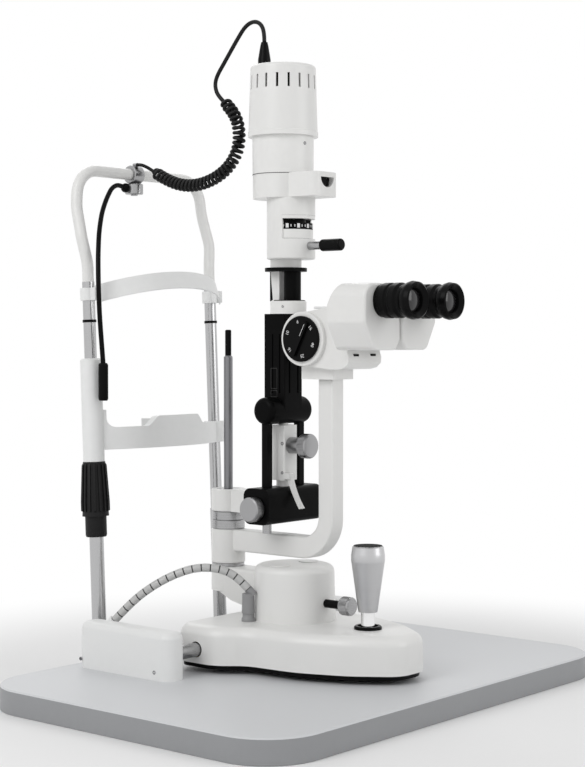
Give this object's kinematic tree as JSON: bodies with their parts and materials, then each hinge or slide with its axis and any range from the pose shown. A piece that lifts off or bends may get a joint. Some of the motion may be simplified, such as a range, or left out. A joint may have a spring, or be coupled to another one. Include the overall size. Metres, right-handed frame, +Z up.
{
  "type": "slit lamp",
  "caption": "Table-mounted slit lamp: binocular microscope and lamp tower on a rolling joystick carriage, facing a chin and forehead rest frame.",
  "frame": {"origin": "centre of the table top's underside", "axes": "+Z up, +Y towards the patient's side, +X towards the right hand of the examiner, who faces +Y"},
  "size_m": [0.58, 0.4665, 0.7315],
  "materials": {
    "table_grey": "light grey laminate with a fine grain",
    "black_plastic": "semi-gloss black plastic",
    "black_rubber": "soft black rubber",
    "black_anodised": "black satin finish",
    "dark_steel": "machined steel",
    "satin_steel": "satin steel",
    "chrome": "polished",
    "satin_aluminium": "satin",
    "brushed_aluminium": "brushed",
    "knurled_aluminium": "knurled rim, turned face",
    "brass": "plain bearing brass",
    "white_paint": "warm off-white semi-gloss paint",
    "white_plastic": "off-white moulded plastic",
    "grey_plastic": "dark grey plastic",
    "grey_cable": "ribbed grey conduit",
    "lens_glass": "coated lens",
    "bulb_glass": "clear bulb",
    "mirror_face": "front-coated mirror"
  },
  "bodies": {
    "stand": {"table_top": "table_grey", "rail_covers": "white_plastic", "rail_racks": "dark_steel", "posts": "satin_steel", "post_clips": "white_plastic", "frame_tube": "white_paint", "forehead_band": "white_plastic", "fixation_clamp": "brushed_aluminium", "power_lead": "black_rubber", "curly_lead": "black_rubber", "lead_tail": "black_rubber", "conduit": "grey_cable"},
    "chin_rest": {"chin_rest": "white_plastic"},
    "height_sleeve": {"height_sleeve": "black_rubber"},
    "fixation_arm": {"fixation_arm": "black_plastic"},
    "axle_guides": {"axle_guides": "black_plastic"},
    "axle": {"axle": "satin_steel", "gear_wheels": "dark_steel"},
    "base": {"base_shell": "white_paint", "base_plate": "black_plastic", "axle_bushes": "brass", "base_drum": "white_paint", "conduit_connector": "grey_plastic", "joystick_collar": "black_plastic"},
    "lock_knob": {"lock_knob": "satin_steel"},
    "joystick_gimbal": {"joystick_gimbal": "dark_steel"},
    "joystick_stem": {"joystick_stem": "chrome"},
    "joystick_grip": {"joystick_grip": "satin_aluminium"},
    "lift_screw": {"lift_screw": "dark_steel"},
    "column": {"pivot_column": "satin_steel"},
    "test_rod": {"test_rod": "satin_steel"},
    "microscope": {"microscope_arm": "white_paint", "microscope_bracket": "white_paint", "microscope_body": "white_paint", "objective_lens": "lens_glass"},
    "magnification": {"magnification_drum": "black_anodised", "magnification_knobs": "grey_plastic"},
    "left_prism": {"left_prism_housing": "white_paint"},
    "right_prism": {"right_prism_housing": "white_paint"},
    "left_eyepiece": {"left_eyepiece": "black_plastic"},
    "right_eyepiece": {"right_eyepiece": "black_plastic"},
    "illumination_arm": {"illumination_arm": "white_paint"},
    "tower": {"tilt_yoke": "black_anodised", "tower_stem": "white_paint", "tower_rods": "black_anodised", "tower_block": "black_anodised", "tower_mirror": "mirror_face", "lens_barrel": "white_paint", "slit_body": "white_paint", "aperture_housing": "white_paint", "lamp_housing": "white_paint", "lamp_cap": "white_paint", "bulb": "bulb_glass", "power_plug": "black_plastic"},
    "slit_width_knobs": {"slit_width_knobs": "knurled_aluminium"},
    "centring_knob": {"centring_knob": "knurled_aluminium"},
    "tilt_lever": {"tilt_lever": "white_paint"},
    "slit_ring": {"slit_ring": "black_anodised"},
    "slit_lever": {"slit_lever": "satin_steel"},
    "aperture_wheel": {"aperture_wheel": "black_anodised"}
  },
  "joints": [
    {"name": "carriage_travel", "type": "slide", "parent": "stand", "child": "axle_guides", "axis": [0, 1, 0], "range_m": [0, 0.055], "deforming": ["power_lead", "curly_lead", "lead_tail", "conduit"]},
    {"name": "axle_roll", "type": "hinge", "parent": "axle_guides", "child": "axle", "pos_m": [0, 0.068, 0.0495], "axis": [1, 0, 0], "range_deg": [-281, 0]},
    {"name": "carriage_shift", "type": "slide", "parent": "axle_guides", "child": "base", "axis": [1, 0, 0], "range_m": [-0.025, 0.025]},
    {"name": "lock_knob_turn", "type": "hinge", "parent": "base", "child": "lock_knob", "pos_m": [0, -0.05, 0.096], "axis": [0, 1, 0], "range_deg": [0, 120]},
    {"name": "joystick_fore", "type": "hinge", "parent": "base", "child": "joystick_gimbal", "pos_m": [0, -0.084, 0.063], "axis": [1, 0, 0], "range_deg": [-8, 8]},
    {"name": "joystick_side", "type": "hinge", "parent": "joystick_gimbal", "child": "joystick_stem", "pos_m": [0, -0.084, 0.063], "axis": [0, 1, 0], "range_deg": [-8, 8]},
    {"name": "joystick_twist", "type": "hinge", "parent": "joystick_stem", "child": "joystick_grip", "pos_m": [0, -0.084, 0.093], "axis": [0, 0, 1], "range_deg": [0, 541]},
    {"name": "column_lift", "type": "slide", "parent": "base", "child": "column", "axis": [0, 0, 1], "range_m": [0, 0.03]},
    {"name": "screw_turn", "type": "hinge", "parent": "base", "child": "lift_screw", "pos_m": [0, 0.114, 0.085], "axis": [0, 0, 1], "range_deg": [0, 2161]},
    {"name": "microscope_swing", "type": "hinge", "parent": "column", "child": "microscope", "pos_m": [0, 0.114, 0.145], "axis": [0, 0, 1], "range_deg": [-45, 45]},
    {"name": "illumination_swing", "type": "hinge", "parent": "column", "child": "illumination_arm", "pos_m": [0, 0.114, 0.2], "axis": [0, 0, 1], "range_deg": [-60, 60]},
    {"name": "test_rod_lift", "type": "slide", "parent": "column", "child": "test_rod", "axis": [0, 0, 1], "range_m": [0, 0.02]},
    {"name": "tower_tilt", "type": "hinge", "parent": "illumination_arm", "child": "tower", "pos_m": [0, 0.033, 0.197], "axis": [1, 0, 0], "range_deg": [0, 3]},
    {"name": "slit_width_turn", "type": "hinge", "parent": "tower", "child": "slit_width_knobs", "pos_m": [0, 0.033, 0.197], "axis": [1, 0, 0], "range_deg": [0, 180]},
    {"name": "centring_turn", "type": "hinge", "parent": "tower", "child": "centring_knob", "pos_m": [0, 0, 0.264], "axis": [0, 1, 0], "range_deg": [-90, 90]},
    {"name": "slit_ring_turn", "type": "hinge", "parent": "tower", "child": "slit_ring", "pos_m": [0, 0.0217, 0.495], "axis": [0, 0, 1], "range_deg": [-90, 90]},
    {"name": "slit_lever_turn", "type": "hinge", "parent": "tower", "child": "slit_lever", "pos_m": [0, 0, 0.48], "axis": [0, 1, 0], "range_deg": [-45, 45]},
    {"name": "aperture_turn", "type": "hinge", "parent": "tower", "child": "aperture_wheel", "pos_m": [0, -0.0095, 0.545], "axis": [0, 0, 1], "range_deg": [0, 300]},
    {"name": "tilt_lever_press", "type": "hinge", "parent": "tower", "child": "tilt_lever", "pos_m": [0, 0.0185, 0.231], "axis": [1, 0, 0], "range_deg": [-12, 0], "stiffness_Nm_per_rad": 0.5},
    {"name": "magnification_turn", "type": "hinge", "parent": "microscope", "child": "magnification", "pos_m": [0, -0.021, 0.38], "axis": [1, 0, 0], "continuous": true},
    {"name": "right_prism_swing", "type": "hinge", "parent": "microscope", "child": "right_prism", "pos_m": [0.017, -0.09, 0.387], "axis": [0, 1, 0], "range_deg": [-4, 10]},
    {"name": "left_prism_swing", "type": "hinge", "parent": "microscope", "child": "left_prism", "pos_m": [-0.017, -0.09, 0.387], "axis": [0, 1, 0], "range_deg": [-10, 4]},
    {"name": "right_dioptre_turn", "type": "hinge", "parent": "right_prism", "child": "right_eyepiece", "pos_m": [0.032, -0.14, 0.419], "axis": [0, 1, 0], "range_deg": [-90, 90]},
    {"name": "left_dioptre_turn", "type": "hinge", "parent": "left_prism", "child": "left_eyepiece", "pos_m": [-0.032, -0.14, 0.419], "axis": [0, 1, 0], "range_deg": [-90, 90]},
    {"name": "chin_lift", "type": "slide", "parent": "stand", "child": "chin_rest", "axis": [0, 0.0419, 0.9991], "range_m": [0, 0.038]},
    {"name": "sleeve_turn", "type": "hinge", "parent": "chin_rest", "child": "height_sleeve", "pos_m": [-0.1, 0.2177, 0.025], "axis": [0, 0.0419, 0.9991], "range_deg": [0, 1141]},
    {"name": "fixation_swing", "type": "hinge", "parent": "stand", "child": "fixation_arm", "pos_m": [-0.01, 0.253, 0.545], "axis": [0, 0, 1], "range_deg": [0, 60]}
  ],
  "couplings": [
    {"joint": "axle_roll", "follows": "carriage_travel", "rad_per_m": -88.889},
    {"joint": "joystick_twist", "follows": "column_lift", "rad_per_m": 314.16},
    {"joint": "screw_turn", "follows": "column_lift", "rad_per_m": 1256.6},
    {"joint": "left_prism_swing", "follows": "right_prism_swing", "ratio": -1},
    {"joint": "sleeve_turn", "follows": "chin_lift", "rad_per_m": 523.6}
  ]
}
